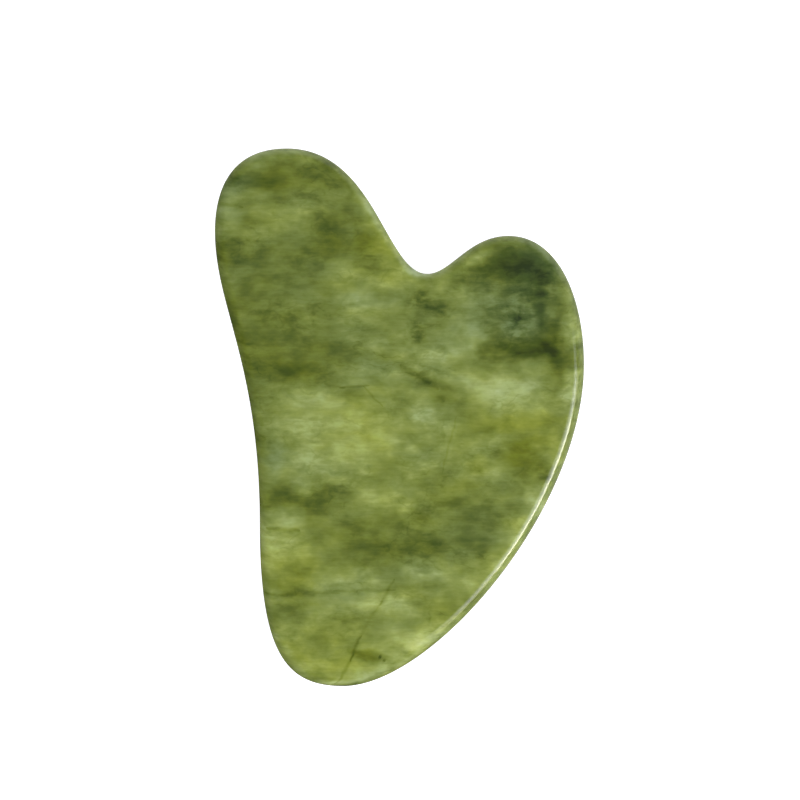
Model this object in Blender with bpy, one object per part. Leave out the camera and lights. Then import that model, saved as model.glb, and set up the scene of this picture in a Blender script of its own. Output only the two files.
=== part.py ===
"""Gua sha scraper: one flat board of polished green stone, for stroking and scraping the skin.

The board lies on its back face. +Z runs through its thickness and +Y along its length, towards the
tall lobe. The small lobe is on the +X side. The origin is under the middle of the board, on the
surface that it lies on.

The outline is one closed Bezier curve. Its control points are the seven places where the outline runs
straight along X or Y, so each of them is a size that can be read off a drawing. A reach is the length
of a control point's handle: the longer it is, the flatter the outline leaves that point.
"""

import math

import bmesh
import bpy
from mathutils import Vector
from mathutils.geometry import interpolate_bezier

MM = 0.001

# The board as a whole
LENGTH = 85.0 * MM
WIDTH = 58.4 * MM
THICKNESS = 6.0 * MM
EDGE_ROUND = 2.0 * MM  # radius of the rounding between each face and the rim

# Crown: the highest point of the tall lobe
CROWN_FROM_LEFT = 11.4 * MM
CROWN_REACH_TO_NOTCH = 14.1 * MM
CROWN_REACH_TO_CHEEK = 10.7 * MM

# Cheek: the leftmost point, on the side of the tall lobe
CHEEK_BELOW_TOP = 13.1 * MM
CHEEK_REACH_TO_CROWN = 3.6 * MM
CHEEK_REACH_TO_WAIST = 12.0 * MM

# Waist: where the hollow left side runs out into the heel
WAIST_FROM_LEFT = 7.1 * MM
WAIST_ABOVE_TIP = 25.4 * MM
WAIST_REACH_TO_CHEEK = 25.9 * MM
WAIST_REACH_TO_TIP = 21.0 * MM

# Tip: the lowest point, between the heel and the long scraping edge
TIP_FROM_LEFT = 20.3 * MM
TIP_REACH_TO_WAIST = 8.6 * MM
TIP_REACH_TO_SIDE = 14.2 * MM

# Side: the rightmost point, where the scraping edge runs up into the small lobe
SIDE_BELOW_TOP = 34.1 * MM
SIDE_REACH_TO_TIP = 22.8 * MM
SIDE_REACH_TO_LOBE = 10.2 * MM

# Small lobe: its own highest point
LOBE_FROM_RIGHT = 12.0 * MM
LOBE_BELOW_TOP = 13.8 * MM
LOBE_REACH_TO_SIDE = 8.1 * MM
LOBE_REACH_TO_NOTCH = 6.3 * MM

# Notch: the floor of the hollow between the two lobes
NOTCH_RIGHT_OF_MIDDLE = 4.4 * MM
NOTCH_BELOW_TOP = 19.8 * MM
NOTCH_REACH_TO_LOBE = 3.7 * MM
NOTCH_REACH_TO_CROWN = 6.6 * MM

# How finely the curves are cut into flats
STEPS_PER_SPAN = 18  # outline flats from one control point to the next
EDGE_STEPS = 5  # flats across each rounding

# Finish
STONE_GREEN = (0.19, 0.26, 0.055)
STONE_ROUGHNESS = 0.12
STONE_METALLIC = 0.0

LEFT, RIGHT = Vector((-1, 0)), Vector((1, 0))
DOWN, UP = Vector((0, -1)), Vector((0, 1))


def clear_scene():
    for obj in list(bpy.data.objects):
        bpy.data.objects.remove(obj)


def control_points():
    """The seven control points anticlockwise: (place, direction of travel, reach before, reach after)."""
    left, right = -WIDTH / 2, WIDTH / 2
    bottom, top = -LENGTH / 2, LENGTH / 2
    crown = Vector((left + CROWN_FROM_LEFT, top))
    cheek = Vector((left, top - CHEEK_BELOW_TOP))
    waist = Vector((left + WAIST_FROM_LEFT, bottom + WAIST_ABOVE_TIP))
    tip = Vector((left + TIP_FROM_LEFT, bottom))
    side = Vector((right, top - SIDE_BELOW_TOP))
    lobe = Vector((right - LOBE_FROM_RIGHT, top - LOBE_BELOW_TOP))
    notch = Vector((NOTCH_RIGHT_OF_MIDDLE, top - NOTCH_BELOW_TOP))
    return [
        (crown, LEFT, CROWN_REACH_TO_NOTCH, CROWN_REACH_TO_CHEEK),
        (cheek, DOWN, CHEEK_REACH_TO_CROWN, CHEEK_REACH_TO_WAIST),
        (waist, DOWN, WAIST_REACH_TO_CHEEK, WAIST_REACH_TO_TIP),
        (tip, RIGHT, TIP_REACH_TO_WAIST, TIP_REACH_TO_SIDE),
        (side, UP, SIDE_REACH_TO_TIP, SIDE_REACH_TO_LOBE),
        (lobe, LEFT, LOBE_REACH_TO_SIDE, LOBE_REACH_TO_NOTCH),
        (notch, LEFT, NOTCH_REACH_TO_LOBE, NOTCH_REACH_TO_CROWN),
    ]


def outline():
    """Points round the outline, anticlockwise from the crown, each one once."""
    controls = control_points()
    points = []
    for start, end in zip(controls, controls[1:] + controls[:1]):
        place, heading, _, reach = start
        next_place, next_heading, next_reach, _ = end
        handle = place + heading * reach
        next_handle = next_place - next_heading * next_reach
        span = interpolate_bezier(place, handle, next_handle, next_place, STEPS_PER_SPAN + 1)
        points += span[:-1]
    return points


def board_mesh():
    """The outline as a flat face on the ground, drawn up to the full thickness with square edges."""
    work = bmesh.new()
    back = work.faces.new([work.verts.new((p.x, p.y, 0)) for p in outline()])
    lifted = bmesh.ops.extrude_face_region(work, geom=[back], use_keep_orig=True)["geom"]
    front = [item for item in lifted if isinstance(item, bmesh.types.BMVert)]
    bmesh.ops.translate(work, verts=front, vec=(0, 0, THICKNESS))
    bmesh.ops.recalc_face_normals(work, faces=work.faces)
    mesh = bpy.data.meshes.new("scraper_stone")
    work.to_mesh(mesh)
    work.free()
    return mesh


def round_edges(board):
    """Rounds the rim into both faces. The rim's own corners are far blunter, so they are left alone."""
    bevel = board.modifiers.new("rounded edge", "BEVEL")
    bevel.limit_method = "ANGLE"
    bevel.angle_limit = math.radians(60)
    bevel.offset_type = "OFFSET"
    bevel.width = EDGE_ROUND
    bevel.segments = EDGE_STEPS
    bevel.use_clamp_overlap = False


def polished_stone():
    material = bpy.data.materials.new("polished green stone")
    material.use_nodes = True
    shader = material.node_tree.nodes["Principled BSDF"]
    shader.inputs["Base Color"].default_value = (*STONE_GREEN, 1)
    shader.inputs["Roughness"].default_value = STONE_ROUGHNESS
    shader.inputs["Metallic"].default_value = STONE_METALLIC
    return material


def main():
    clear_scene()
    mesh = board_mesh()
    mesh.materials.append(polished_stone())
    mesh.shade_smooth()
    mesh.set_sharp_from_angle(angle=math.radians(40))
    board = bpy.data.objects.new("scraper_stone", mesh)
    bpy.context.collection.objects.link(board)
    round_edges(board)


main()
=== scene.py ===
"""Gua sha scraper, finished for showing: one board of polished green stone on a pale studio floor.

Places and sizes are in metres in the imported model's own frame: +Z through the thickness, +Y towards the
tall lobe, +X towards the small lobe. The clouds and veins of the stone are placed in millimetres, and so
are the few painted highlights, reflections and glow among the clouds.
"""

import math
from typing import NamedTuple

import bpy
import numpy as np
from bpy.props import FloatProperty, FloatVectorProperty, IntProperty, PointerProperty
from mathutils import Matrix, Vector


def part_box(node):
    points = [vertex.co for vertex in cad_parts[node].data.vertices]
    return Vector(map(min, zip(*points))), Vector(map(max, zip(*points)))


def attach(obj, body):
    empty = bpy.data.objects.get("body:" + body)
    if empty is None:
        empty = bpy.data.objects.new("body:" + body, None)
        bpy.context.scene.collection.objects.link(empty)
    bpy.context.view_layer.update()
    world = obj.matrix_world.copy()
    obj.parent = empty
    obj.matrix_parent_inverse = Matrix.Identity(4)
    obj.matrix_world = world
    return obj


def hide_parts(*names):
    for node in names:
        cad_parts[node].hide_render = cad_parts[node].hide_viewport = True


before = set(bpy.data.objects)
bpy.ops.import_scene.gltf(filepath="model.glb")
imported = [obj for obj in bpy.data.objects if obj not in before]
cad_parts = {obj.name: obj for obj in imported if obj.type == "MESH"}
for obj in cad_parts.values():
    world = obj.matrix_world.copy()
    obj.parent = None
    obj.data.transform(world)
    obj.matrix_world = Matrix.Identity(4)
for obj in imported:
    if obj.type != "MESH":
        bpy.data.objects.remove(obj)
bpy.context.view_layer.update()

bl_info = {
    "name": "Gua sha scraper",
    "version": (1, 0, 0),
    "blender": (4, 5, 0),
    "location": "3D View > Sidebar > Scraper",
    "description": "Makes a polished green stone gua sha board and a plain studio round it",
    "category": "Add Mesh",
}

MM = 0.001
BODY = "root"
CAD_NODE = "scraper_stone"
BOARD_LOW, BOARD_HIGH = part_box(CAD_NODE)
BOARD_SIZE = BOARD_HIGH - BOARD_LOW
FACE_MIDDLE = (-5 * MM, 5 * MM, 0)  # where the rings of the back face close


def screen_colour(red, green, blue):
    """The linear colour of a shade given as a screen shows it, each part from 0 to 255."""
    shade = np.array((red, green, blue)) / 255
    linear = np.where(shade <= 0.04045, shade / 12.92, ((shade + 0.055) / 1.055) ** 2.4)
    return tuple(float(part) for part in linear)


def length_setting(name, description, default):
    return FloatProperty(
        name=name,
        description=description,
        default=default,
        subtype="DISTANCE",
        unit="LENGTH",
        precision=5,
    )


def angle_setting(name, description, degrees):
    return FloatProperty(
        name=name,
        description=description,
        default=math.radians(degrees),
        subtype="ANGLE",
        unit="ROTATION",
    )


def share_setting(name, description, default):
    return FloatProperty(name=name, description=description, default=default, min=0, subtype="FACTOR")


def count_setting(name, description, default, least):
    return IntProperty(name=name, description=description, default=default, min=least)


def colour_setting(name, description, default):
    return FloatVectorProperty(
        name=name, description=description, default=default, subtype="COLOR", size=3, min=0, max=1
    )


# ---------------------------------------------------------------------------------------------------
# Settings
# ---------------------------------------------------------------------------------------------------


class ScraperShape(bpy.types.PropertyGroup):
    """Sizes of the board. A reach is the length of a control point's handle on the outline."""

    length: length_setting("Length", "From the tip to the crown of the tall lobe", BOARD_SIZE.y)
    width: length_setting("Width", "From the cheek to the scraping edge", BOARD_SIZE.x)
    thickness: length_setting("Thickness", "From the back face to the front face", BOARD_SIZE.z)
    edge_round: length_setting("Edge rounding", "Radius between each face and the rim", 2.0 * MM)

    crown_from_left: length_setting("Crown from left", "Top of the tall lobe, across", 11.4 * MM)
    crown_to_notch: length_setting("Crown to notch", "Reach of the crown towards the notch", 14.1 * MM)
    crown_to_cheek: length_setting("Crown to cheek", "Reach of the crown towards the cheek", 10.7 * MM)
    cheek_below_top: length_setting("Cheek below top", "Leftmost point, down from the crown", 13.1 * MM)
    cheek_to_crown: length_setting("Cheek to crown", "Reach of the cheek towards the crown", 3.6 * MM)
    cheek_to_waist: length_setting("Cheek to waist", "Reach of the cheek towards the waist", 12.0 * MM)
    waist_from_left: length_setting("Waist from left", "Hollow of the left side, across", 7.1 * MM)
    waist_above_tip: length_setting("Waist above tip", "Hollow of the left side, upwards", 25.4 * MM)
    waist_to_cheek: length_setting("Waist to cheek", "Reach of the waist towards the cheek", 25.9 * MM)
    waist_to_tip: length_setting("Waist to tip", "Reach of the waist towards the tip", 21.0 * MM)
    tip_from_left: length_setting("Tip from left", "Lowest point, across", 20.3 * MM)
    tip_to_waist: length_setting("Tip to waist", "Reach of the tip towards the waist", 8.6 * MM)
    tip_to_side: length_setting("Tip to side", "Reach of the tip towards the scraping edge", 14.2 * MM)
    side_below_top: length_setting("Side below top", "Rightmost point, down from the crown", 34.1 * MM)
    side_to_tip: length_setting("Side to tip", "Reach of the side towards the tip", 22.8 * MM)
    side_to_lobe: length_setting("Side to lobe", "Reach of the side towards the small lobe", 10.2 * MM)
    lobe_from_right: length_setting("Small lobe from right", "Top of the small lobe, across", 12.0 * MM)
    lobe_below_top: length_setting("Small lobe below top", "Top of the small lobe, down", 13.8 * MM)
    lobe_to_side: length_setting("Small lobe to side", "Reach of the lobe towards the side", 8.1 * MM)
    lobe_to_notch: length_setting("Small lobe to notch", "Reach of the lobe towards the notch", 6.3 * MM)
    notch_from_middle: length_setting("Notch from middle", "Floor of the notch, across", 4.4 * MM)
    notch_below_top: length_setting("Notch below top", "Floor of the notch, down", 19.8 * MM)
    notch_to_lobe: length_setting("Notch to small lobe", "Reach of the notch towards the lobe", 3.7 * MM)
    notch_to_crown: length_setting("Notch to crown", "Reach of the notch towards the crown", 6.6 * MM)

    rim_turn: angle_setting("Rim turn", "How far the rim bulges, as a turn of its surface", 8)
    hand_ground: share_setting("Hand grinding", "How unevenly the edges are rounded", 0.05)
    face_wave: length_setting("Face wave", "Depth of the waves left by polishing", 0.012 * MM)
    steps_round: count_setting("Steps round", "Flats round the outline", 560, 60)
    steps_face: count_setting("Steps across a face", "Rings on each face", 44, 4)
    steps_edge: count_setting("Steps across an edge", "Flats across each rounding", 18, 4)
    steps_rim: count_setting("Steps across the rim", "Flats between the roundings", 6, 2)


class StoneFinish(bpy.types.PropertyGroup):
    """Colours and polish of the stone."""

    deepest: colour_setting("Deepest green", "The darkest streaks", screen_colour(43, 57, 13))
    deep: colour_setting("Deep green", "Inside the dark clouds", screen_colour(70, 85, 26))
    dark: colour_setting("Dark olive", "Round the dark clouds", screen_colour(97, 110, 43))
    middle: colour_setting("Middle green", "Most of the stone", screen_colour(117, 130, 61))
    light: colour_setting("Light green", "Inside the light clouds", screen_colour(138, 150, 78))
    pale: colour_setting("Pale green", "The palest patches", screen_colour(165, 176, 105))
    palest: colour_setting("Palest green", "The palest spots", screen_colour(190, 200, 135))
    blue_swing: share_setting("Blue swing", "How far the green swings from yellow to blue", 0.35)
    red_swing: share_setting("Red swing", "How much red the green loses on the blue side", 0.03)
    clouds: share_setting("Small clouds", "Strength of the clouds of a few millimetres", 0.38)
    grains: share_setting("Grains", "Strength of the cloudy grains of a millimetre", 0.18)
    streaks: share_setting("Streaks", "Strength of the fine streaks along the bedding", 0.09)
    wisps: share_setting("Wisps", "Darkness of the thin curling wisps", 0.035)
    gloss_roughness: share_setting("Roughness", "Roughness of the polished faces", 0.12)
    ripple: length_setting("Ripple", "Height of the fine ripple in the polish", 0.003 * MM)
    light_depth: length_setting("Light depth", "How far light spreads under the surface", 1.5 * MM)
    refraction: FloatProperty(name="Refractive index", description="Of the stone", default=1.6, min=1)


class StudioSettings(bpy.types.PropertyGroup):
    """Camera, floor and lights."""

    lens: FloatProperty(name="Lens", description="Focal length in millimetres", default=100)
    camera_height: length_setting("Camera height", "Above the front face", 349 * MM)
    camera_across: length_setting("Camera across", "Right of the board's middle", 0.08 * MM)
    camera_along: length_setting("Camera along", "From the board's middle towards the crown", 2.72 * MM)
    floor_radius: length_setting("Floor radius", "Of the round floor", 4.0)
    floor_colour: colour_setting("Floor", "Colour of the floor", (0.80, 0.80, 0.80))
    floor_glow: share_setting("Floor glow", "How brightly the floor is lit from below", 0.8)


# ---------------------------------------------------------------------------------------------------
# The board
# ---------------------------------------------------------------------------------------------------


def control_points(shape):
    """The seven control points anticlockwise: place, direction of travel, reach before, reach after."""
    left, right = -shape.width / 2, shape.width / 2
    bottom, top = -shape.length / 2, shape.length / 2
    go_left, go_right = Vector((-1, 0)), Vector((1, 0))
    go_down, go_up = Vector((0, -1)), Vector((0, 1))
    crown = Vector((left + shape.crown_from_left, top))
    cheek = Vector((left, top - shape.cheek_below_top))
    waist = Vector((left + shape.waist_from_left, bottom + shape.waist_above_tip))
    tip = Vector((left + shape.tip_from_left, bottom))
    side = Vector((right, top - shape.side_below_top))
    lobe = Vector((right - shape.lobe_from_right, top - shape.lobe_below_top))
    notch = Vector((shape.notch_from_middle, top - shape.notch_below_top))
    return [
        (crown, go_left, shape.crown_to_notch, shape.crown_to_cheek),
        (cheek, go_down, shape.cheek_to_crown, shape.cheek_to_waist),
        (waist, go_down, shape.waist_to_cheek, shape.waist_to_tip),
        (tip, go_right, shape.tip_to_waist, shape.tip_to_side),
        (side, go_up, shape.side_to_tip, shape.side_to_lobe),
        (lobe, go_left, shape.lobe_to_side, shape.lobe_to_notch),
        (notch, go_left, shape.notch_to_lobe, shape.notch_to_crown),
    ]


def outline(shape):
    """Evenly spaced points round the outline and the outward direction at each, as two (n, 2) arrays.

    Each span is a cubic Bezier curve: (1-t)^3 times the first point, plus 3t(1-t)^2 times its handle, plus
    3t^2(1-t) times the next handle, plus t^3 times the next point. The outward direction is the direction
    of travel turned a quarter turn clockwise.
    """
    controls = control_points(shape)
    t = np.linspace(0, 1, 400, endpoint=False)[:, None]
    spans = []
    for start, end in zip(controls, controls[1:] + controls[:1]):
        place, heading, _, reach = start
        next_place, next_heading, next_reach, _ = end
        handle = place + heading * reach
        next_handle = next_place - next_heading * next_reach
        span = (1 - t) ** 3 * place + 3 * t * (1 - t) ** 2 * handle
        span += 3 * t**2 * (1 - t) * next_handle + t**3 * next_place
        spans.append(span)
    dense = np.concatenate(spans + [spans[0][:1]])
    travelled = np.concatenate([[0], np.cumsum(np.linalg.norm(np.diff(dense, axis=0), axis=1))])
    stops = np.linspace(0, travelled[-1], shape.steps_round, endpoint=False)
    points = np.stack([np.interp(stops, travelled, dense[:, axis]) for axis in (0, 1)], axis=1)
    travel = np.roll(points, -1, axis=0) - np.roll(points, 1, axis=0)
    travel /= np.linalg.norm(travel, axis=1)[:, None]
    outward = np.stack([travel[:, 1], -travel[:, 0]], axis=1)
    return points, outward


def edge_profile(turn, radius, thickness, rim_turn):
    """Inset from the outline and height of the edge's surface, where its normal leans by turn from +Z.

    Each rounding is an arc of the given radius, and the rim between them is an arc of a far larger radius
    that takes up the last half of rim_turn on each side of level. So out, the distance outwards from where
    the face ends, is radius times sin(turn) on a rounding, and the rim adds its own radius times the
    difference of the sines. The fall below the face does the same with 1 - cos(turn).
    """
    rounding_end = np.pi / 2 - rim_turn / 2
    drop = radius * (1 - np.cos(rounding_end))
    rim_radius = (thickness - 2 * drop) / (2 * np.cos(rounding_end))
    on_rounding = np.minimum(turn, np.pi - turn)
    upper = np.minimum(on_rounding, rounding_end)
    lower = np.maximum(on_rounding, upper)
    out = radius * np.sin(upper) + rim_radius * (np.sin(lower) - np.sin(upper))
    fall = radius * (1 - np.cos(upper)) + rim_radius * (np.cos(upper) - np.cos(lower))
    height = np.where(turn < np.pi / 2, thickness - fall, fall)
    widest = radius * np.sin(rounding_end) + rim_radius * (1 - np.sin(rounding_end))
    return widest - out, height


def polish_wave(x, y, depth):
    """Depth of a face below true, from 0 to depth: three crossed sine waves of 13 to 17 mm."""
    waves = np.sin(x / (2.1 * MM) + 0.6 * np.sin(y / (4.2 * MM)))
    waves += np.sin(y / (2.7 * MM) + 0.8 * np.sin(x / (3.3 * MM)) + 1.3)
    waves += np.sin((x + y) / (3.9 * MM) + 2.2)
    return depth * (3 + waves) / 6


def board_surface(shape):
    """The whole skin of the board as rings of points, (rings, points round, 3), and its two poles.

    A ring on the rounding or the rim is the outline moved inwards by the edge profile's inset. A ring on
    a face is the face's own outline drawn in towards the pole by an even share. Two sine waves round the
    outline make the rounding's radius a little uneven. The wave fades to nothing down the sides.
    """
    points, outward = outline(shape)
    along = np.linspace(0, 2 * np.pi, shape.steps_round, endpoint=False)
    uneven = 0.6 * np.sin(3 * along + 0.7) + 0.4 * np.sin(8 * along + 2.1)
    radius = shape.edge_round * (1 + shape.hand_ground * uneven)
    rounding_end = np.pi / 2 - shape.rim_turn / 2
    turns = np.concatenate([
        np.linspace(0, rounding_end, shape.steps_edge + 1),
        np.linspace(rounding_end, np.pi - rounding_end, shape.steps_rim + 1)[1:-1],
        np.linspace(np.pi - rounding_end, np.pi, shape.steps_edge + 1),
    ])
    inset, height = edge_profile(turns[:, None], radius, shape.thickness, shape.rim_turn)
    edge = points - inset[..., None] * outward
    edge = np.concatenate([edge, height[..., None]], axis=2)

    share = np.linspace(0, 1, shape.steps_face + 1)[1:-1, None, None]
    back = np.array(FACE_MIDDLE)
    front = back + (0, 0, shape.thickness)
    front_rings = front + share * (edge[0] - front)
    back_rings = back + share[::-1] * (edge[-1] - back)
    rings = np.concatenate([front_rings, edge, back_rings])
    poles = np.stack([front, back])
    for place in (rings, poles):
        above = np.clip((place[..., 2] - shape.thickness / 2) / (shape.thickness / 2), -1, 1)
        wave = polish_wave(place[..., 0], place[..., 1], shape.face_wave)
        place[..., 2] -= wave * np.sign(above) * above**2
    return rings, poles


def board_mesh(shape):
    """Joins the rings with four-sided faces and closes each pole with a fan of triangles."""
    rings, poles = board_surface(shape)
    count, around = rings.shape[:2]
    here = np.arange(around)
    after = np.roll(here, -1)
    first = np.arange(count - 1)[:, None] * around
    quads = np.stack([first + here, first + around + here, first + around + after, first + after], axis=-1)
    front_pole, back_pole = count * around, count * around + 1
    last = (count - 1) * around
    front_fan = np.stack([np.full(around, front_pole), here, after], axis=-1)
    back_fan = np.stack([np.full(around, back_pole), last + after, last + here], axis=-1)
    vertices = np.concatenate([rings.reshape(-1, 3), poles])
    faces = quads.reshape(-1, 4).tolist() + front_fan.tolist() + back_fan.tolist()
    mesh = bpy.data.meshes.new("scraper_board")
    mesh.from_pydata(vertices, [], faces)
    mesh.shade_smooth()
    return mesh


# ---------------------------------------------------------------------------------------------------
# The stone
# ---------------------------------------------------------------------------------------------------

STEP = 1 / 255  # one step of lightness, from 0, black, to 255, full green
BASE_LIGHTNESS = 131 * STEP  # away from every cloud and vein
COLOUR_STEPS = (60, 85, 110, 130, 150, 176, 200)  # lightness of each of the seven colours, darkest first
CLOUD_HALF_DEPTH = 6  # millimetres down through the board
LEAN = (0.5, -0.35, 0)  # how far the pattern moves for each millimetre down through the board
TINT_STRENGTH = 3  # how strongly noise swings the blueness
LEAST_BLUE = 0.4  # the smallest share of its blue that a colour keeps


class Wiring:
    """Adds nodes to one node tree. An input given as a socket is linked; any other input is a value."""

    def __init__(self, tree):
        self.tree = tree

    def feed(self, socket, value):
        if isinstance(value, bpy.types.NodeSocket):
            self.tree.links.new(value, socket)
        else:
            socket.default_value = value

    def add(self, kind, inputs=None, **settings):
        node = self.tree.nodes.new(kind)
        for name, value in settings.items():
            setattr(node, name, value)
        for key, value in (inputs or {}).items():
            self.feed(node.inputs[key], value)
        return node

    def math(self, operation, *values, clamp=False):
        node = self.add("ShaderNodeMath", dict(enumerate(values)), operation=operation, use_clamp=clamp)
        return node.outputs[0]

    def vector(self, operation, *values):
        node = self.add("ShaderNodeVectorMath", dict(enumerate(values)), operation=operation)
        return node.outputs["Value" if operation in ("DOT_PRODUCT", "LENGTH") else "Vector"]

    def scaled(self, vector, factor):
        node = self.add("ShaderNodeVectorMath", {"Vector": vector, "Scale": factor}, operation="SCALE")
        return node.outputs["Vector"]

    def noise(self, place, size, detail, roughness, output="Fac", curl=0.0):
        """Noise about zero, from -0.5 to 0.5, with lumps of the given size along X, Y and Z."""
        inputs = {
            "Vector": self.vector("MULTIPLY", place, [1 / part for part in size]),
            "Scale": 1,
            "Detail": detail,
            "Roughness": roughness,
            "Distortion": curl,
        }
        noise = self.add("ShaderNodeTexNoise", inputs).outputs[output]
        if output == "Color":
            return self.vector("SUBTRACT", noise, (0.5, 0.5, 0.5))
        return self.math("SUBTRACT", noise, 0.5)

    def ranged(self, value, low, high, to_low=0.0, to_high=1.0, smooth=True):
        node = self.add(
            "ShaderNodeMapRange",
            {"Value": value, "From Min": low, "From Max": high, "To Min": to_low, "To Max": to_high},
            interpolation_type="SMOOTHSTEP" if smooth else "LINEAR",
            clamp=not smooth,
        )
        return node.outputs["Result"]


def new_group(name, inputs, outputs):
    """An empty node group with the given sockets, its wiring, and its input and output nodes."""
    tree = bpy.data.node_groups.new(name, "ShaderNodeTree")
    for label, kind in inputs.items():
        tree.interface.new_socket(label, in_out="INPUT", socket_type=kind)
    for label, kind in outputs.items():
        tree.interface.new_socket(label, in_out="OUTPUT", socket_type=kind)
    wires = Wiring(tree)
    return tree, wires, wires.add("NodeGroupInput"), wires.add("NodeGroupOutput")


def cloud_group():
    """Node group: adds one soft-edged cloud to the stone's tone; a few of the clouds are painted
    highlights, reflections and glow.

    The mask falls smoothly from 1 to 0 as the distance from the centre, in units of the cloud's
    half-sizes, goes from 0.2 to 1.5. Tone's x is lightness, its y is blueness and its z is graininess.
    """
    tree, wires, given, result = new_group(
        "stone cloud and painted light",
        {
            "Tone": "NodeSocketVector",
            "Place": "NodeSocketVector",
            "Centre": "NodeSocketVector",
            "Half Size": "NodeSocketVector",
            "Turn": "NodeSocketFloat",
            "Strength": "NodeSocketVector",
        },
        {"Tone": "NodeSocketVector"},
    )
    offset = wires.vector("SUBTRACT", given.outputs["Place"], given.outputs["Centre"])
    turned_back = wires.add(
        "ShaderNodeVectorRotate",
        {"Vector": offset, "Angle": given.outputs["Turn"]},
        rotation_type="Z_AXIS",
        invert=True,
    ).outputs["Vector"]
    in_cloud = wires.vector("DIVIDE", turned_back, given.outputs["Half Size"])
    mask = wires.ranged(wires.vector("LENGTH", in_cloud), 0.2, 1.5, 1.0, 0.0)
    added = wires.scaled(given.outputs["Strength"], mask)
    wires.feed(result.inputs["Tone"], wires.vector("ADD", given.outputs["Tone"], added))
    return tree


def vein_group():
    """Node group: adds one thin vein, from one end to the other, to the stone's tone.

    The mask is e to the minus (d/w)^2, where d is the distance to the line between the ends and w is the
    vein's width, which shrinks to nothing at both ends. The vein runs straight down through the board.
    """
    tree, wires, given, result = new_group(
        "vein in the stone",
        {
            "Tone": "NodeSocketVector",
            "Place": "NodeSocketVector",
            "From": "NodeSocketVector",
            "To": "NodeSocketVector",
            "Width": "NodeSocketFloat",
            "Strength": "NodeSocketVector",
        },
        {"Tone": "NodeSocketVector"},
    )
    flat = wires.vector("MULTIPLY", given.outputs["Place"], (1, 1, 0))
    offset = wires.vector("SUBTRACT", flat, given.outputs["From"])
    line = wires.vector("SUBTRACT", given.outputs["To"], given.outputs["From"])
    reach = wires.vector("DOT_PRODUCT", line, line)
    share = wires.math("DIVIDE", wires.vector("DOT_PRODUCT", offset, line), reach, clamp=True)
    nearest = wires.scaled(line, share)
    distance = wires.vector("LENGTH", wires.vector("SUBTRACT", offset, nearest))
    taper = wires.math("MULTIPLY", wires.math("MULTIPLY", share, wires.math("SUBTRACT", 1, share)), 4)
    width = wires.math("MULTIPLY", given.outputs["Width"], wires.math("SQRT", taper))
    ratio = wires.math("DIVIDE", distance, wires.math("MAXIMUM", width, 0.001))
    mask = wires.math("EXPONENT", wires.math("MULTIPLY", wires.math("POWER", ratio, 2), -1))
    added = wires.scaled(given.outputs["Strength"], mask)
    wires.feed(result.inputs["Tone"], wires.vector("ADD", given.outputs["Tone"], added))
    return tree


class Cloud(NamedTuple):
    """A soft-edged cloud in the stone; a few near the edges are painted highlights, reflections and glow
    instead.

    Its centre and half-sizes are in millimetres, its turn is in degrees, its lightness is in steps, its
    blueness runs from about -1, yellow-green, to 1, blue-green, and grain is how much grainier it is.
    """

    x: float
    y: float
    long: float
    short: float
    turn: float
    lightness: float
    blueness: float
    grain: float = 0


class Vein(NamedTuple):
    """A thin vein: its ends and width in millimetres, and its lightness and blueness as a cloud's."""

    start: tuple
    end: tuple
    width: float
    lightness: float
    blueness: float


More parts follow.
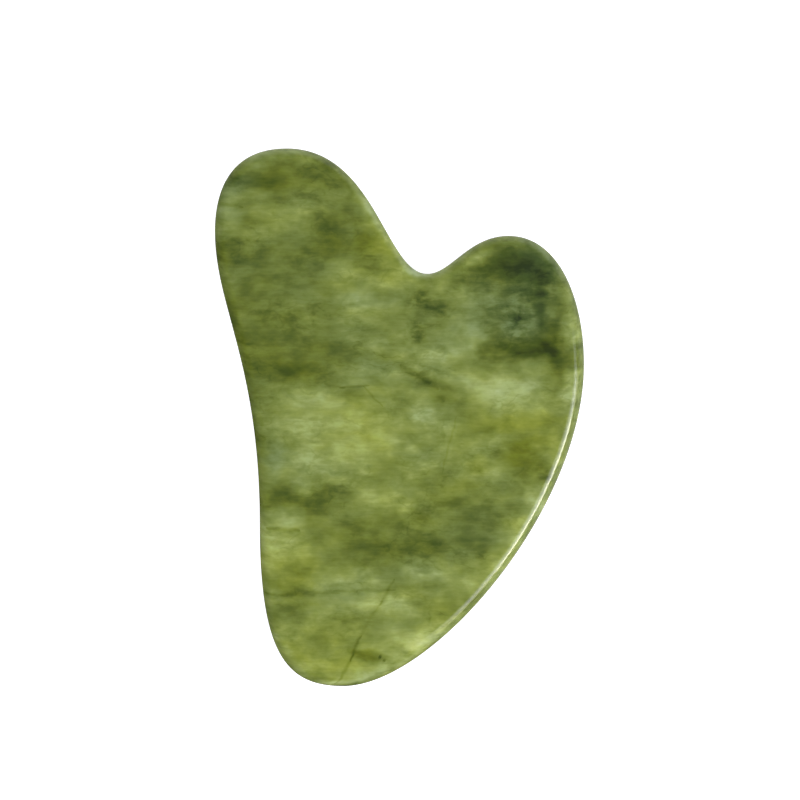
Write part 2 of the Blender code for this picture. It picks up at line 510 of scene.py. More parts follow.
FRONT_CLOUDS = [
    # Tall lobe
    Cloud(-17, 38.5, 8, 3, 0, -6, -0.6),
    Cloud(-10, 30, 5, 3, -20, -20, -0.8),
    Cloud(-21, 27, 13, 17, 0, -9, -0.2),
    Cloud(-12, 26.5, 6, 2.5, 15, -14, -0.6),
    Cloud(-2, 26, 3, 6, 30, 10, -0.6),
    Cloud(-18, 23.5, 7, 2.2, 0, -12, 0.5),
    Cloud(-5.5, 22, 5, 2.6, 0, 10, -0.3),
    Cloud(-18, 42.2, 9, 1, 0, 20, 0.7),
    Cloud(-20, 41.3, 2.4, 1.1, 0, 23, 0.3),
    Cloud(-22, 41.2, 3, 1.5, 20, 18, 0.9),
    Cloud(-15.5, 39.3, 3.5, 1.4, 0, -8, 0),
    Cloud(-24.5, 38, 2.4, 1.4, 20, -8, 0),
    Cloud(-18.5, 38, 2.5, 1.4, 0, -8, 0),
    Cloud(-21.5, 37.4, 5, 1.6, 0, -15, -0.2),
    Cloud(-26, 36.5, 4, 1.6, 25, -8, 1.2),
    Cloud(-27, 34.5, 2.5, 3, 0, 11, 0.4),
    Cloud(-22, 34.4, 2.8, 2.4, 0, 7, 0.45),
    Cloud(-16.8, 34, 2.2, 1.6, 0, -10, 0),
    Cloud(-13, 32.4, 2, 1.3, 0, 8, 0),
    Cloud(-27, 32, 3, 1.8, 0, 16, 0.8),
    Cloud(-17.5, 31.8, 4.5, 2, 0, 18, 0.1),
    Cloud(-8.6, 31.8, 2, 2, -20, -13, 0),
    # Partly paler stone, partly a painted soft highlight: the pale bluish band along the edge of the tall
    # lobe's right flank, above the notch
    Cloud(-3.5, 31, 8, 1, -58, 20, 0.7),
    Cloud(-15.5, 30.5, 3.2, 2.6, 0, -6, 0),
    Cloud(-16.5, 30.4, 4, 1.2, 0, 6, 0),
    Cloud(-8.6, 29, 2.4, 2, 0, 5, 0.8),
    Cloud(-28.6, 28.6, 1.2, 2, 0, 12, 0.4),
    Cloud(-13.5, 28.6, 1.8, 1.6, 0, -9, 0),
    Cloud(-22, 28.5, 4, 1.6, 20, 8, 0.5),
    Cloud(-8, 28.5, 1.5, 1.5, 0, 8, 0.5),
    Cloud(-3.6, 28.2, 1.6, 2.5, -30, -13, -0.3),
    Cloud(-4.8, 26.5, 2.5, 2, 0, -12, -0.4),
    Cloud(-26.4, 26.4, 2.2, 2.6, 0, -17, 0.2),
    Cloud(-5.6, 26, 1.5, 1.5, 0, -14, 0),
    Cloud(-26.5, 25, 4, 2.5, 0, -14, -0.2),
    Cloud(-3, 23.3, 4, 1.6, -15, -14, -0.1),
    Cloud(-9.5, 23, 3.5, 2.4, -10, 14, 0.4),
    Cloud(-18, 22.8, 2.6, 1.6, 0, 12, 0),
    Cloud(-27, 22.5, 2.5, 1.6, 0, 12, 0),
    Cloud(-20.5, 22, 2.2, 1.2, 0, -8, 0.1),
    Cloud(-9, 21, 2.6, 1.6, 0, 10, 0),
    Cloud(-26, 20.4, 1.6, 1.4, 0, 12, 0.2),
    # Edge of the notch
    Cloud(3.5, 21, 6, 3, 0, 4, 0),
    # Painted highlights: two pale spots where the light glints on the notch's left wall
    Cloud(0.2, 25.6, 1.2, 1.2, -40, 9, 0),
    Cloud(1.8, 23.3, 2, 1.3, -30, 17, 0.6),
    Cloud(7.5, 23.2, 1.6, 1.2, 20, 10, 0),
    # Painted reflection: the bright bluish streak along the notch's floor is mirrored light, not stone
    Cloud(4.3, 22.2, 2.8, 0.9, 0, 34, 1.3),
    Cloud(1.6, 21.3, 2.2, 2.2, 0, 11, 0.2),
    Cloud(1.6, 20.2, 1.4, 1.4, 0, 11, 0),
    # Small lobe
    Cloud(18.5, 23.8, 7, 3.4, -12, -46, -0.2),
    Cloud(24.6, 17, 2.5, 5, 0, -16, -0.4),
    Cloud(18, 16, 6, 5, 0, -24, 1.1, 1.6),
    Cloud(11, 13.5, 4, 3, 10, 12, 0.4),
    Cloud(17.5, 11.5, 6, 2.2, 0, -26, -0.8),
    Cloud(17.5, 27.6, 3.5, 0.7, 0, 10, 1),
    Cloud(17, 26, 4, 1, 0, 8, 0.3),
    Cloud(12.8, 25.8, 2.8, 1.3, 20, 33, 0.4),
    Cloud(22.6, 25.4, 1.4, 1.6, -20, 10, 0),
    Cloud(20.3, 24.5, 1.6, 3, 0, -14, 0),
    Cloud(19.6, 24.2, 2.2, 2.6, 0, -12, 0.3),
    Cloud(11.5, 22.5, 5, 1.8, 8, -14, -0.2),
    Cloud(12, 22.5, 2, 1.5, 0, -9, 0),
    Cloud(21.8, 21, 1.6, 4, -28, -30, -0.5),
    Cloud(12.8, 20.8, 3, 1.6, 0, -20, 0),
    Cloud(14, 20.4, 1.8, 1.4, 0, -14, 0.2),
    Cloud(18.8, 20.2, 2.4, 1.4, 0, 8, 0.6),
    Cloud(22.3, 17.5, 1.2, 3.2, 0, -18, 0),
    Cloud(15.2, 17.2, 1.8, 1.2, 0, 8, 0.1),
    Cloud(12, 17, 1.5, 1.5, 0, 8, 0.2),
    Cloud(27, 17, 1.6, 5, 10, 12, -0.6),
    Cloud(22, 16.6, 1.8, 4.2, 0, -17, 0.1),
    Cloud(23.6, 16.4, 1.2, 2, 0, 8, 0.3),
    Cloud(11.2, 14.2, 1.8, 1.4, 0, 9, 0),
    Cloud(17.2, 14, 1.8, 1.3, 0, 8, 0.5),
    Cloud(17, 13.3, 1.5, 1.8, 0, 9, 0.5),
    Cloud(26.8, 13.3, 1.6, 3, 0, 32, 1),
    Cloud(12.2, 12.8, 1.9, 1.9, 0, 7, 0.2),
    Cloud(12, 12, 1.6, 2.5, 0, 12, 0.5),
    Cloud(24, 12, 3, 3, 0, -29, -1),
    Cloud(14.5, 11.2, 1.8, 3, 0, -13, 0.1),
    Cloud(21.5, 11, 4, 1.6, 0, -11, -0.8),
    Cloud(24.6, 10.8, 1.4, 2, 0, -12, 0.3),
    Cloud(19.6, 10.6, 2, 1.8, 0, -16, -0.1),
    Cloud(17, 9.8, 5, 1.4, 2, -22, -0.4),
    Cloud(24.2, 9.4, 1.4, 2.4, 0, -13, -0.3),
    # Below the notch
    Cloud(4.8, 19.8, 1.6, 1.2, 0, -11, 0),
    Cloud(4.2, 17.7, 3.4, 1.7, -20, -28, -0.2, 2.4),
    Cloud(6.9, 17.2, 2.4, 1.5, 0, -10, 0),
    Cloud(9.8, 17, 1.6, 1.5, 0, -12, 0),
    Cloud(7, 14, 1.8, 1.2, 0, -9, 0),
    Cloud(2.6, 13.8, 1.8, 1.8, 0, -28, -0.3, 2.4),
    Cloud(10, 11, 3, 1.2, 0, 8, 0.2),
    Cloud(8, 10, 5, 1.6, 0, 12, 0.4),
    Cloud(4.2, 9.6, 1.8, 2.2, 0, 9, 0),
    # Shoulder, with the dark olive band across it
    Cloud(-18.5, 19, 5, 2.8, 0, 9, 0.4),
    Cloud(-25, 12, 2, 6, 15, -8, -0.2),
    Cloud(-18, 11.5, 10, 6, -10, -14, -0.6),
    Cloud(-17.5, 7.5, 8, 2, -6, -16, -0.8),
    Cloud(-8.6, 19.6, 2.6, 1.4, 0, 8, 0),
    Cloud(-6.3, 18.2, 3, 1.5, -8, 18, 0.6),
    Cloud(-7.2, 18, 2, 1.8, 0, 4, 0.1),
    Cloud(-5.4, 17.6, 2.6, 2, 0, 13, 0),
    Cloud(-1.2, 17.3, 2.6, 1.5, 0, 16, 0),
    Cloud(-18, 17, 1.6, 1.5, 0, 9, 0.2),
    Cloud(-25.6, 16, 1.3, 2, 10, -14, 0.3),
    Cloud(-25.6, 14.6, 1, 1.6, 10, -8, 0.2),
    Cloud(-6.8, 14.2, 2.4, 1.6, 0, 9, 0.3),
    Cloud(-10.5, 14, 3.5, 2, 0, 8, 0.2),
    Cloud(-3, 11.5, 2.2, 1.2, 0, 18, 0.5),
    Cloud(-14.5, 11.4, 3.2, 1.8, 0, -18, -0.1),
    Cloud(-21.5, 11, 3, 1.5, 0, -10, -0.2),
    Cloud(-6, 11, 2, 1.2, 0, -9, -0.1),
    Cloud(-2, 10.5, 5, 1, -12, -10, -0.4),
    Cloud(-18, 8.6, 1.6, 1.1, 0, 9, 0.3),
    Cloud(-1.5, 8, 2.6, 1.1, -10, -15, -0.1),
    Cloud(-4.5, 7.4, 5, 1.5, -4, 8, 0.4),
    Cloud(-19, 6.6, 3.4, 1.6, 0, -8, 0.3),
    Cloud(-17.8, 5, 1.6, 1.2, 0, -8, 0),
    Cloud(-12.6, 5, 1.5, 1, 0, 8, 0.2),
    # Under the small lobe
    Cloud(17, 4.6, 7, 2.6, 4, 40, 0.7),
    Cloud(18, -0.8, 9, 1.6, 0, 8, -0.8),
    Cloud(4.2, 8.4, 2, 1, -25, 12, 0),
    Cloud(21, 8.4, 2.2, 1.2, 0, 9, 0.3),
    Cloud(9, 8.3, 2.4, 1.2, 0, -5, -0.2),
    Cloud(27.6, 8.2, 1.2, 1.5, 0, -9, 0),
    Cloud(12, 8, 1.5, 1.5, 0, 8, 0.3),
    Cloud(17, 8, 2, 1.2, 0, -10, 0.2),
    Cloud(25.4, 7.8, 2, 1.3, 0, -9, 0.1),
    Cloud(24.9, 7.4, 1.2, 3, 0, -10, -0.2),
    Cloud(3.5, 7, 5, 0.9, -28, -14, -0.4),
    Cloud(24.5, 6.5, 2, 3, 0, -10, -0.4),
    Cloud(7.2, 5.8, 2, 1, -35, 10, 0),
    Cloud(6.8, 5.4, 2.2, 1.4, -30, 14, 0),
    Cloud(10.4, 5.4, 3.6, 1.5, 0, 17, 0.2),
    Cloud(3.6, 5.2, 1.6, 1, -25, -9, 0),
    Cloud(20, 5.2, 1.8, 1.3, 0, 17, 0.4),
    Cloud(27.4, 4.2, 1.2, 2.5, 0, 13, 0),
    Cloud(27, 4, 1.3, 3.5, 0, 26, 0.5),
    Cloud(12.5, 3.2, 4, 2.5, 4, 14, 0.3),
    Cloud(7.8, 3, 3.4, 1.1, -42, -11, -0.3),
    Cloud(28.6, 3, 1, 5, 0, 12, 0),
    Cloud(7.5, 1.8, 3, 1.6, -20, -8, 0.2),
    Cloud(12, 1.8, 1.8, 1.5, 0, 10, 0),
    Cloud(19.5, 1, 4, 1.4, 0, 14, -0.2),
    Cloud(6.4, 0, 2.6, 2.8, 0, 13, 0.2),
    Cloud(15, -1.2, 2.5, 1.5, 0, -9, 0),
    Cloud(6.2, -1.5, 2, 2, 0, 9, 0.1),
    Cloud(24.6, -2.4, 1.2, 2.4, -10, 8, 0),
    # Middle
    Cloud(-15, 1.5, 4, 3, 0, 8, 0.1),
    Cloud(-9, -1.5, 13, 7, -12, 28, 0.1),
    Cloud(4, -3, 7, 4, 0, 8, 0.2),
    Cloud(-7.8, 3.6, 3, 0.8, 0, -10, -0.2),
    Cloud(-22.8, 3, 1.5, 4.5, 10, -13, 0),
    Cloud(-14, 2.8, 4, 2, 0, 12, 0.1),
    Cloud(-21.5, 2, 2, 1.6, 0, -13, 0),
    Cloud(-17, 2, 1.8, 1.2, 0, 9, 0.1),
    Cloud(4, 1.2, 2.2, 2.2, 0, 9, 0.2),
    Cloud(3.8, 0.8, 2.6, 2, 0, 16, 0.5),
    Cloud(-3, 0.6, 2.2, 2.2, 0, -15, -0.3),
    Cloud(-6, -0.8, 1.6, 1.3, 0, 8, 0),
    Cloud(1.6, -0.8, 1.6, 1.2, 0, -7, -0.2),
    Cloud(-22.6, -2, 0.9, 3, 10, -12, 0),
    Cloud(0, -3.4, 2.6, 2.2, 0, -10, 0),
    Cloud(-20.8, -3.7, 1.5, 3, 0, -21, 0),
    Cloud(4.2, -4.2, 1.6, 1.3, 0, 8, 0.1),
    Cloud(1.2, -4.8, 2.5, 2.2, 0, -15, 0),
    Cloud(-13, -5.5, 1.8, 2.2, 0, 12, 0),
    Cloud(-19.5, -6.5, 2, 3, 0, -8, 1),
    Cloud(-16, -6.8, 4, 1.7, 0, 17, 0.4),
    Cloud(-0.5, -7, 3.5, 1.6, 10, -14, -0.3),
    Cloud(-8, -8, 1.6, 2, 0, 12, 0),
    # Scraping edge, with the olive patch beside it
    Cloud(24.2, -3.6, 1, 1.8, -10, 8, 0),
    Cloud(11.6, -3.9, 2, 1.5, 0, 15, 0),
    Cloud(20.4, -4, 3.4, 1.6, 0, -16, -0.7),
    Cloud(13, -4.5, 2.2, 2, 0, 14, 0.3),
    Cloud(24.5, -5.5, 2, 3, 20, 12, -0.4),
    Cloud(25, -5.5, 1.5, 3.2, -20, 15, -0.2),
    Cloud(10, -6.8, 1.6, 1.3, 0, 8, 0),
    Cloud(13, -7.2, 2.2, 1.4, 0, -8, -0.6),
    Cloud(19.8, -7.2, 1.8, 1.2, 0, 9, 0.1),
    Cloud(19.5, -7.5, 4, 2.6, -30, -18, -1.6),
    Cloud(24, -7.6, 1.8, 1.8, 0, 9, 0.3),
    Cloud(12.5, -8.2, 4, 2.6, 0, 12, -0.3),
    # Below the middle
    Cloud(12, -12, 6, 2, -8, 6, -0.2),
    Cloud(-15.5, -12.6, 7, 2.4, -5, -24, -0.6),
    Cloud(11.4, -9, 2.6, 1.2, 0, 6, 0.2),
    Cloud(17, -9.2, 4.5, 1.5, 0, 10, 0.2),
    Cloud(-3, -9.8, 3.5, 1.4, 0, -12, 0),
    Cloud(-11.6, -10.2, 2.4, 1.1, 0, -8, 0),
    Cloud(10, -10.4, 1.8, 1.2, 0, -7, -0.3),
    Cloud(-15, -10.6, 2.2, 1, 5, 18, 0.6),
    Cloud(-12, -10.7, 2.5, 1.5, 0, -13, -0.3),
    Cloud(-18, -11.5, 3, 1.4, 0, -12, -0.3),
    Cloud(22.3, -11.8, 1.2, 3.2, -20, -16, 0),
    Cloud(-2, -12.5, 5, 2, 0, 14, -0.2),
    Cloud(20, -12.6, 1.6, 1.4, 0, 14, 0.2),
    Cloud(7.5, -12.8, 2.4, 2, 0, -16, -0.4),
    Cloud(-20, -13, 1.6, 1.6, 0, -14, 0.2),
    Cloud(-9.8, -13, 1.6, 1.6, 0, -11, 0),
    Cloud(1.6, -13, 2, 1.3, 0, 9, 0),
    Cloud(-3.6, -13.4, 3.4, 1.6, 0, 14, 0.2),
    Cloud(10.8, -13.4, 4.5, 1.3, 0, -12, 0),
    Cloud(14, -13.4, 1.8, 1.2, 0, -23, 0.2),
    Cloud(22, -13.5, 4, 2, 62, 20, 0.4),
    Cloud(14.5, -14.8, 4, 1.6, 0, -16, 0.2),
    Cloud(-17.5, -15.5, 2.5, 1.4, 0, 8, 0.5),
    Cloud(4.2, -15.6, 1.6, 1.3, 0, -15, -0.1),
    Cloud(-19.4, -16, 2, 1.2, 0, 8, 0),
    Cloud(0.4, -16, 1.8, 1.2, 0, 8, 0),
    Cloud(10.6, -16, 2, 1.5, 0, -10, 0),
    # Lower dark band
    Cloud(11, -18, 6, 4.2, -25, -20, 0.4),
    Cloud(-18.5, -19, 4, 3.5, 0, 26, 0.2),
    Cloud(5, -19.5, 4, 3, 0, -10, -0.6),
    Cloud(-4, -20, 9, 3.8, 0, -16, -0.6),
    Cloud(-2.6, -17.8, 2.2, 2, 0, 9, 0),
    Cloud(1.2, -17.8, 2.8, 2, 30, -11, 0),
    Cloud(17.2, -18.2, 3.6, 2.4, 55, 30, -0.1),
    Cloud(-18, -18.6, 2, 1.2, 0, -10, -0.2),
    Cloud(14.4, -18.8, 1.4, 1.5, 0, 12, 0.1),
    Cloud(8.5, -19, 2, 1.8, 0, 10, 0),
    Cloud(-9.4, -19.2, 2, 1.3, 0, -9, 0),
    Cloud(-15.5, -19.4, 1.2, 1.6, 0, 8, 0),
    Cloud(0.8, -20.2, 2.4, 2.2, 0, -12, 0),
    Cloud(17, -21.6, 1.3, 1.5, 0, -9, -0.2),
    Cloud(-5.5, -21.8, 2, 1, 0, 8, 0),
    Cloud(-21.3, -22, 0.8, 5, 0, 12, 0),
    Cloud(5.6, -22.2, 2.2, 1.4, 0, -18, 0),
    Cloud(16, -22.5, 4, 2, 55, 18, 0),
    Cloud(4.8, -22.6, 1.8, 1.2, 0, -9, 0),
    Cloud(-19.5, -22.8, 3.2, 2.8, 0, 14, 0),
    Cloud(14.2, -22.8, 2, 1.6, 45, -14, -0.3),
    # Heel and tip
    Cloud(4.5, -24.5, 6, 2.4, 0, 12, 0.4),
    Cloud(12.5, -27, 6, 2.5, 48, 16, 0.2),
    Cloud(-7, -27.5, 8, 3, 0, 14, 0.6),
    Cloud(1, -33, 7, 4, 30, 22, 0),
    Cloud(-8, -40, 10, 3, 0, 20, 0),
    Cloud(-13.5, -25, 4, 1.4, 0, 19, 0),
    Cloud(2.6, -25, 3, 1.3, 0, 15, 0),
    Cloud(10.8, -25, 2, 1.2, 30, 10, 0),
    Cloud(-6.2, -25.2, 1.5, 1.2, 0, -8, 0.2),
    Cloud(-20.5, -27.5, 1.4, 2.2, 0, 27, 0.4),
    Cloud(11.9, -28.2, 2.2, 1.5, 45, -34, -0.9),
    Cloud(-17.5, -28.5, 4, 2, -10, -8, -0.8),
    Cloud(4.2, -28.8, 2, 2, 0, -24, -0.4),
    Cloud(-4.5, -29, 5, 1.8, 0, 11, 0.1),
    Cloud(-10, -29.4, 2.4, 2.2, 0, 17, 0),
    Cloud(0, -30, 4, 2, 0, 8, 0.2),
    Cloud(-18.2, -30.8, 2.5, 1.4, 0, -26, -0.1),
    Cloud(2.6, -31, 1.8, 1.2, 0, 7, 0),
    Cloud(9.6, -31.2, 1.4, 1.4, 40, 8, -0.2),
    # Paler stone by the lower end of the scraping edge, brightened further with a painted glow of light
    # shining through the thin edge
    Cloud(3.6, -34, 3.4, 1.8, 37, 20, 0.1),
    Cloud(4.8, -34.8, 2.5, 1.5, 37, 18, 0.2),
    Cloud(3, -36, 4, 2, 30, 16, 0.1),
    Cloud(5, -36.2, 5, 1.3, 37, 22, 0.3),
    Cloud(-18.3, -36.5, 1.6, 2.5, 20, 18, 0),
    Cloud(-5.5, -36.9, 2.2, 1, -12, -12, -0.4),
    Cloud(1.6, -37.2, 1.6, 1, 35, -8, -0.3),
    Cloud(-4.5, -37.3, 3, 0.9, -12, -16, -0.8),
    Cloud(-17.2, -37.8, 5, 1, -54, 15, 0.7),
    Cloud(-7.4, -38, 2.2, 2.2, 0, -10, 0),
    Cloud(-1.2, -38.4, 3, 1.4, 20, 14, 0.2),
    Cloud(-10, -39.5, 1.2, 2, -20, -9, 0),
    Cloud(-5.4, -40.4, 2, 1.2, 0, 8, 0),
    Cloud(-4.5, -40.4, 3, 1, 15, 14, 0.8),
    Cloud(-9, -42, 6, 0.7, 0, 18, 0.6),
    # Tints alone, which leave the lightness as it is
    Cloud(-27, 32, 3.5, 5, 0, 0, 0.25),
    Cloud(22.4, 23.5, 3.8, 4.5, 0, 0, 1.4),
    Cloud(-23, 20, 4, 5, 0, 0, 0.15),
    Cloud(26, 18, 2.5, 5, 0, 0, 0.5),
    Cloud(21.5, 17, 3.5, 10, 0, 0, 0.4),
    Cloud(8, 14, 7, 4, 0, 0, 0.3),
    Cloud(0, 13, 27, 9, 0, 0, 0.25),
    Cloud(-6, -2, 4, 4, 0, 0, -0.5),
    Cloud(18.5, -2.2, 7, 2.8, 0, 0, -0.4),
    Cloud(18, -9.8, 5, 2.5, 0, 0, 0.3),
    Cloud(5.5, -14, 4, 4, 0, 0, -0.7),
    Cloud(0, -23.5, 9, 2.5, 0, 0, 0.3),
    Cloud(-17, -24, 4, 3.4, 0, 0, -1),
    Cloud(7, -30, 6, 3, 40, 0, -0.5),
    Cloud(-11, -37, 7, 5, 0, 0, -0.85),
    Cloud(21.6, 26, 2.4, 1.6, -20, 0, 0.4),
    Cloud(24, 23, 1.4, 2.4, 20, 0, 0.5),
    Cloud(-15, 18.5, 3, 2.5, 0, 0, 0.4),
    Cloud(18.2, 14.8, 2.8, 3.6, 0, 0, 0.6),
    Cloud(-23, 11, 2, 1.5, 0, 0, 0.35),
    Cloud(-6.5, 5.5, 3, 1.5, 0, 0, 0.4),
    Cloud(18, 2.6, 3, 1.4, 0, 0, -0.3),
    Cloud(20.8, -4.5, 3, 1.5, 0, 0, -0.6),
    Cloud(-19.5, -8.5, 3, 3, 0, 0, 0.45),
    Cloud(7, -10, 1.8, 1.4, 0, 0, -0.3),
    Cloud(0, -16, 5, 1.5, 0, 0, -0.5),
    Cloud(13.8, -16, 1.8, 1.5, 0, 0, 0.3),
    Cloud(9.5, -22, 3, 1.5, 0, 0, 0.5),
    Cloud(8, -29.5, 3, 1.8, 40, 0, -0.25),
    Cloud(-17.5, -36.5, 2, 2.5, 0, 0, -0.3),
]

BACK_CLOUDS = [
    Cloud(-16, 33, 9, 4, 10, 18, 0.4),
    Cloud(-20, 19, 8, 5, -20, -24, -0.4),
    Cloud(-6, 24, 6, 3, 35, -16, -0.6),
    Cloud(16, 20, 9, 4, 8, 22, 0.6),
    Cloud(22, 8, 5, 6, 0, -22, -0.2),
    Cloud(2, 11, 9, 4, -10, 16, 0.2),
    Cloud(-12, 3, 9, 3, 4, -26, 0.4),
    Cloud(9, -4, 8, 3, -12, -18, -0.8),
    Cloud(-8, -10, 10, 4, 6, 20, 0.2),
    Cloud(14, -15, 6, 4, 30, 14, 0.6),
    Cloud(-4, -22, 9, 3, -6, -22, -0.6),
    Cloud(-12, -33, 6, 4, 0, 18, 0.2),
    Cloud(2, -34, 5, 3, 20, -14, -0.4),
]

VEINS = [
    Vein((2.6, 6.9), (6.2, 4.3), 0.5, -12, -0.4),
    Vein((-29.2, 33.6), (-24.5, 33.0), 0.45, -14, -0.4),
    Vein((-12, 5.3), (-8.4, 4.6), 0.3, -12, -0.3),
    Vein((-9.6, 4.7), (-4.6, 4.9), 0.22, -20, -0.3),
    Vein((-5.6, 4.9), (-2.6, 1.6), 0.2, -13, -0.3),
    Vein((-20.9, -17.4), (-15.6, -17.8), 0.5, -26, -0.5),
    Vein((-21, -27.9), (-9.5, -27.6), 0.45, -12, -0.3),
    Vein((-10.5, -27.3), (-0.6, -27.1), 0.3, -14, -0.2),
    Vein((-0.8, -25.4), (-3.2, -29.6), 0.3, -15, -0.2),
    Vein((-2.6, -28.6), (-6.8, -35.2), 0.3, -8, -0.2),
    Vein((-6.0, -34.2), (-7.8, -38.4), 0.28, -24, -0.3),
    Vein((-7.2, -37.2), (-9.9, -42.2), 0.28, -18, -0.3),
    Vein((9.0, 0.2), (6.7, -8.8), 0.22, -9, -0.3),
    Vein((0.2, 8.2), (4.8, 5.2), 1.0, -15, -0.2),
    Vein((3.6, 6.2), (7.0, 2.4), 0.8, -12, -0.2),
    Vein((-3.3, -37.5), (-2.9, -37.8), 0.35, -40, -0.2),
    Vein((-2.6, -38.1), (-2.2, -38.4), 0.3, -34, -0.2),
]


def add_clouds(wires, tone, place, clouds, height):
    group = bpy.data.node_groups.get("stone cloud and painted light") or cloud_group()
    for cloud in clouds:
        inputs = {
            "Tone": tone,
            "Place": place,
            "Centre": (cloud.x, cloud.y, height),
            "Half Size": (cloud.long, cloud.short, CLOUD_HALF_DEPTH),
            "Turn": math.radians(cloud.turn),
            "Strength": (cloud.lightness * STEP, cloud.blueness, cloud.grain),
        }
        tone = wires.add("ShaderNodeGroup", inputs, node_tree=group).outputs["Tone"]
    return tone


def add_veins(wires, tone, place, veins):
    group = bpy.data.node_groups.get("vein in the stone") or vein_group()
    for vein in veins:
        inputs = {
            "Tone": tone,
            "Place": place,
            "From": (*vein.start, 0),
            "To": (*vein.end, 0),
            "Width": vein.width,
            "Strength": (vein.lightness * STEP, vein.blueness, 0),
        }
        tone = wires.add("ShaderNodeGroup", inputs, node_tree=group).outputs["Tone"]
    return tone


def stone_tone(wires, thickness):
    """The stone's tone, the place in millimetres, and the same place warped as the clouds' edges are."""
    object_place = wires.add("ShaderNodeTexCoord").outputs["Object"]
    place = wires.scaled(object_place, 1 / MM)

    # The pattern leans as it goes down through the board, so the back face differs from the front
    height = wires.add("ShaderNodeSeparateXYZ", {"Vector": place}).outputs["Z"]
    depth = wires.math("SUBTRACT", thickness / MM, height)
    place = wires.vector("ADD", place, wires.scaled(LEAN, depth))

    # Two sizes of warp fray the clouds' edges, and a little of the finer one bends the veins
    broad = wires.noise(place, (11, 6, 8), 2, 0.5, "Color")
    fine = wires.noise(place, (2.6, 1.8, 2.4), 2, 0.5, "Color")
    broad_shift = wires.vector("MULTIPLY", broad, (4, 3, 0))
    fine_shift = wires.vector("MULTIPLY", fine, (2.4, 1.8, 0))
    warped = wires.vector("ADD", wires.vector("ADD", place, broad_shift), fine_shift)
    shaken = wires.vector("ADD", place, wires.scaled(fine_shift, 0.35))

    tone = (BASE_LIGHTNESS, 0, 0)
    tone = add_clouds(wires, tone, warped, FRONT_CLOUDS, thickness / MM)
    tone = add_clouds(wires, tone, warped, BACK_CLOUDS, 0)
    tone = add_veins(wires, tone, shaken, VEINS)
    return tone, place, warped


def stone_colour(wires, finish, tone, place, warped):
    """Adds the mottling, the streaks and the wisps to the tone and looks the colour up."""
    parts = wires.add("ShaderNodeSeparateXYZ", {"Vector": tone})
    lightness, blueness, graininess = (parts.outputs[axis] for axis in "XYZ")
    clouds = wires.noise(place, (4.6, 3.0, 3.5), 3, 0.5, curl=0.2)
    grains = wires.noise(place, (2.2, 1.2, 1.3), 4, 0.62, curl=0.2)
    streaks = wires.noise(place, (3.5, 0.5, 2), 3, 0.55, curl=0.3)
    patches = wires.noise(warped, (8, 6, 6), 2, 0.5)
    curls = wires.noise(warped, (4.5, 2.8, 3), 2, 0.5)

    # Grains are coarser in some patches, and wisps follow the lines where the curls cross zero
    coarseness = wires.math("ADD", wires.ranged(patches, -0.15, 0.15, 0.5, 1.5), graininess)
    grains = wires.math("MULTIPLY", grains, coarseness)
    near_line = wires.ranged(wires.math("ABSOLUTE", curls), 0.0, 0.05, -1.0, 0.0)
    wisps = wires.math("MULTIPLY", near_line, wires.ranged(patches, -0.05, 0.1))
    for part, strength in (
        (clouds, finish.clouds),
        (grains, finish.grains),
        (streaks, finish.streaks),
        (wisps, finish.wisps),
    ):
        lightness = wires.math("MULTIPLY_ADD", part, strength, lightness)

    colours = (
        finish.deepest,
        finish.deep,
        finish.dark,
        finish.middle,
        finish.light,
        finish.pale,
        finish.palest,
    )
    ramp = wires.add("ShaderNodeValToRGB", {"Fac": lightness})
    stops = ramp.color_ramp.elements
    stops.remove(stops[1])
    stops[0].position = COLOUR_STEPS[0] * STEP
    stops[0].color = (*colours[0], 1)
    for step, colour in zip(COLOUR_STEPS[1:], colours[1:]):
        stops.new(step * STEP).color = (*colour, 1)

    tint = wires.math("MULTIPLY", wires.noise(warped, (9, 5, 6), 3, 0.6), TINT_STRENGTH)
    blueness = wires.math("ADD", blueness, tint)
    blue = wires.math("MULTIPLY_ADD", blueness, finish.blue_swing, 1)
    blue = wires.math("MAXIMUM", blue, LEAST_BLUE)
    red = wires.math("MULTIPLY_ADD", blueness, -finish.red_swing, 1)
    balance = wires.add("ShaderNodeCombineXYZ", {"X": red, "Y": 1, "Z": blue}).outputs["Vector"]
    return wires.vector("MULTIPLY", ramp.outputs["Color"], balance)


def polished_stone(finish, thickness):
    material = bpy.data.materials.new("polished green stone")
    material.use_nodes = True
    wires = Wiring(material.node_tree)
    shader = material.node_tree.nodes["Principled BSDF"]
    tone, place, warped = stone_tone(wires, thickness)
    wires.feed(shader.inputs["Base Color"], stone_colour(wires, finish, tone, place, warped))

    ripple = wires.noise(place, (1.6, 1.6, 1.6), 2, 0.5)
    bump = wires.add("ShaderNodeBump", {"Height": ripple, "Strength": 1, "Distance": finish.ripple})
    wires.feed(shader.inputs["Normal"], bump.outputs["Normal"])
    shader.inputs["Roughness"].default_value = finish.gloss_roughness
    shader.inputs["IOR"].default_value = finish.refraction
    shader.inputs["Metallic"].default_value = 0
    shader.inputs["Subsurface Weight"].default_value = 1
    shader.inputs["Subsurface Radius"].default_value = (1, 1, 1)
    shader.inputs["Subsurface Scale"].default_value = finish.light_depth
    return material


class SCRAPER_OT_make_board(bpy.types.Operator):
    """Make the stone board in place of the plain one"""

    bl_idname = "scraper.make_board"
    bl_label = "Stone board"

    def execute(self, context):
        scene = context.scene
        mesh = board_mesh(scene.scraper_shape)
        mesh.materials.append(polished_stone(scene.scraper_stone, scene.scraper_shape.thickness))
        board = bpy.data.objects.new("scraper_board", mesh)
        scene.collection.objects.link(board)
        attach(board, BODY)
        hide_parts(CAD_NODE)
        return {"FINISHED"}


# ---------------------------------------------------------------------------------------------------
# The studio
# ---------------------------------------------------------------------------------------------------


